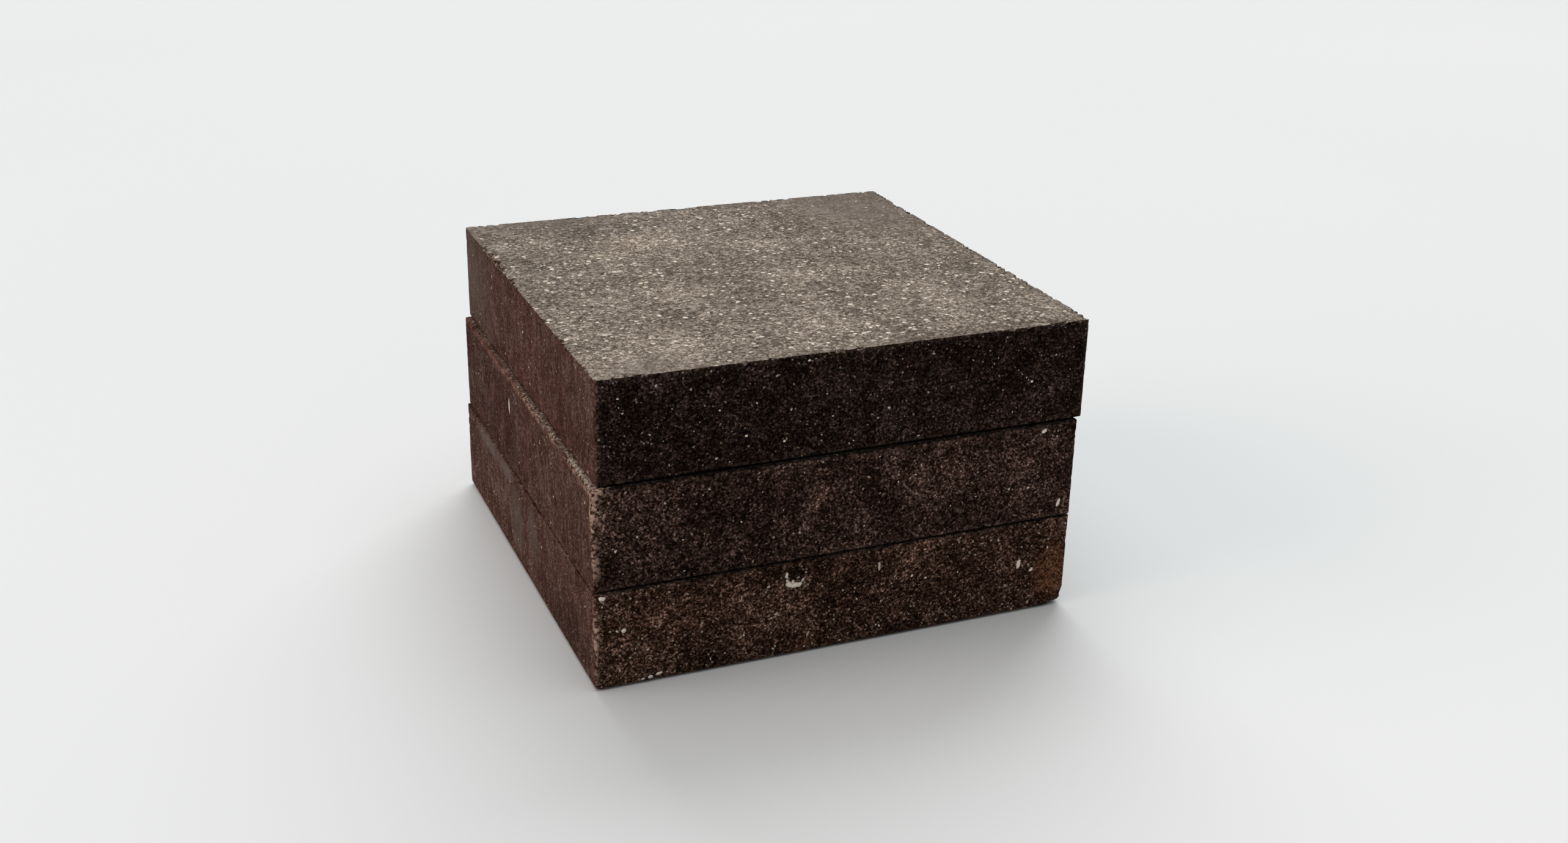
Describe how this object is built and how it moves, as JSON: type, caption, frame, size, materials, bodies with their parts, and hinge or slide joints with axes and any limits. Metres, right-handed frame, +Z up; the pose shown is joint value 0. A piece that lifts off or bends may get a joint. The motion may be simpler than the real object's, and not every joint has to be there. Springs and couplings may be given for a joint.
{
  "type": "charcoal block stack",
  "caption": "Loose stack of flat square blocks of pressed charcoal with sharp upper rims, worn lower rims and a fine granular surface.",
  "frame": {"origin": "centre of the bottom block's underside, on the surface that the stack stands on", "axes": "+Z up through the stack; +X and +Y along the bottom block's sides"},
  "size_m": [0.0611, 0.0608, 0.0369],
  "materials": {
    "bottom_charcoal": "matte, fine grained, with pale flecks and a faint brown stain",
    "middle_charcoal": "matte, fine grained, with sparse pale flecks",
    "top_charcoal": "matte, fine grained, dusty upper face with dense pale and dark speckle"
  },
  "bodies": {
    "bottom_block": {"bottom_block": "bottom_charcoal"},
    "middle_block": {"middle_block": "middle_charcoal"},
    "top_block": {"top_block": "top_charcoal"}
  },
  "joints": [
    {"name": "middle_lift", "type": "slide", "parent": "bottom_block", "child": "middle_block", "axis": [0, 0, 1], "range_m": [0, 0.04]},
    {"name": "top_lift", "type": "slide", "parent": "middle_block", "child": "top_block", "axis": [0, 0, 1], "range_m": [0, 0.04]}
  ]
}
